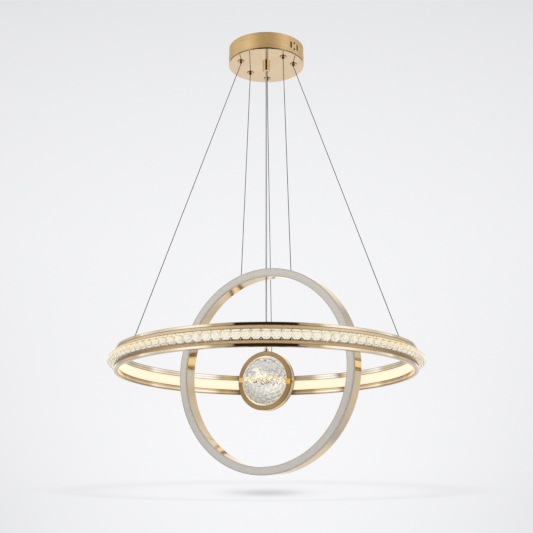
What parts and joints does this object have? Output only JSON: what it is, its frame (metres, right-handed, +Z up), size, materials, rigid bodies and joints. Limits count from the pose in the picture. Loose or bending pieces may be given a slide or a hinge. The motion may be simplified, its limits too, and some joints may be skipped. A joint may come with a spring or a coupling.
{
  "type": "ring pendant light",
  "caption": "Ceiling pendant with a horizontal crystal ring, an upright frosted hoop and a swivelling glass ball, hung on wires from a round canopy.",
  "frame": {"origin": "on the ceiling, at the middle of the bracket's two ceiling slots", "axes": "+Z up to the ceiling; -Y towards the viewer of the picture; +X to the viewer's right"},
  "size_m": [0.5998, 0.6, 0.8648],
  "materials": {
    "satin_gold": "brushed, gold plated",
    "pale_gold": "satin, pale gold plated",
    "polished_gold": "polished",
    "ring_gold": "polished, gold anodised",
    "bronze_gold": "satin, bronze gold",
    "dark_brass": "polished",
    "steel": "zinc plated",
    "steel_wire": "stranded stainless steel",
    "crystal": "clear, facetted",
    "ball_glass": "clear, crackled",
    "lit_diffuser": "milky silicone, lit from behind",
    "frosted_acrylic": "frosted",
    "light_board": "solder mask, white",
    "driver_plastic": "moulded",
    "lead_jacket": "smooth insulation",
    "cable_jacket": "clear jacket over tinned strands"
  },
  "bodies": {
    "fitting": {"mounting_bracket": "steel", "canopy_band": "satin_gold", "canopy_plate": "pale_gold", "side_screws": "polished_gold", "led_driver": "driver_plastic", "driver_screws": "steel", "terminal_block": "driver_plastic", "terminal_screws": "steel", "mains_leads": "lead_jacket", "output_leads": "lead_jacket", "gripper_body_1": "polished_gold", "gripper_body_2": "polished_gold", "gripper_body_3": "polished_gold", "gripper_body_4": "polished_gold", "gripper_body_5": "polished_gold", "gripper_spring_1": "steel", "gripper_spring_2": "steel", "gripper_spring_3": "steel", "gripper_spring_4": "steel", "gripper_spring_5": "steel", "gripper_nuts": "steel", "cord_grip": "polished_gold", "cord_grip_nut": "steel", "cord_grip_screw": "steel", "power_cable": "cable_jacket", "ring_wire_1": "steel_wire", "ring_wire_2": "steel_wire", "ring_wire_3": "steel_wire", "hoop_wire_1": "steel_wire", "hoop_wire_2": "steel_wire", "ring_frame": "ring_gold", "ring_bezel_top": "satin_gold", "ring_bezel_bottom": "satin_gold", "ring_crystals": "crystal", "ring_outer_lights": "light_board", "ring_inner_lights": "light_board", "ring_diffuser": "lit_diffuser", "ring_anchors": "polished_gold", "hoop_frame": "ring_gold", "hoop_front": "frosted_acrylic", "hoop_lights": "light_board", "hoop_anchors": "polished_gold", "hoop_bushing": "polished_gold", "hoop_bushing_nut": "steel", "hoop_screw": "polished_gold", "ball_stem": "polished_gold", "ball_stem_nut": "steel"},
    "ball": {"ball_holder": "bronze_gold", "ball_lights": "light_board", "ball_diffuser": "lit_diffuser", "ball_clips": "polished_gold", "crystal_ball": "ball_glass"},
    "plunger_1": {"gripper_plunger_1": "dark_brass"},
    "plunger_2": {"gripper_plunger_2": "dark_brass"},
    "plunger_3": {"gripper_plunger_3": "dark_brass"},
    "plunger_4": {"gripper_plunger_4": "dark_brass"},
    "plunger_5": {"gripper_plunger_5": "dark_brass"}
  },
  "joints": [
    {"name": "ball_swivel", "type": "hinge", "parent": "fitting", "child": "ball", "pos_m": [0, 0, -0.6895], "axis": [0, 0, 1], "range_deg": [-170, 170]},
    {"name": "plunger_press_1", "type": "slide", "parent": "fitting", "child": "plunger_1", "axis": [0, 0, 1], "range_m": [0, 0.002], "stiffness_N_per_m": 1000, "springref_m": -0.002, "deforming": ["gripper_spring_1"]},
    {"name": "plunger_press_2", "type": "slide", "parent": "fitting", "child": "plunger_2", "axis": [0, 0, 1], "range_m": [0, 0.002], "stiffness_N_per_m": 1000, "springref_m": -0.002, "deforming": ["gripper_spring_2"]},
    {"name": "plunger_press_3", "type": "slide", "parent": "fitting", "child": "plunger_3", "axis": [0, 0, 1], "range_m": [0, 0.002], "stiffness_N_per_m": 1000, "springref_m": -0.002, "deforming": ["gripper_spring_3"]},
    {"name": "plunger_press_4", "type": "slide", "parent": "fitting", "child": "plunger_4", "axis": [0, 0, 1], "range_m": [0, 0.002], "stiffness_N_per_m": 1000, "springref_m": -0.002, "deforming": ["gripper_spring_4"]},
    {"name": "plunger_press_5", "type": "slide", "parent": "fitting", "child": "plunger_5", "axis": [0, 0, 1], "range_m": [0, 0.002], "stiffness_N_per_m": 1000, "springref_m": -0.002, "deforming": ["gripper_spring_5"]}
  ]
}
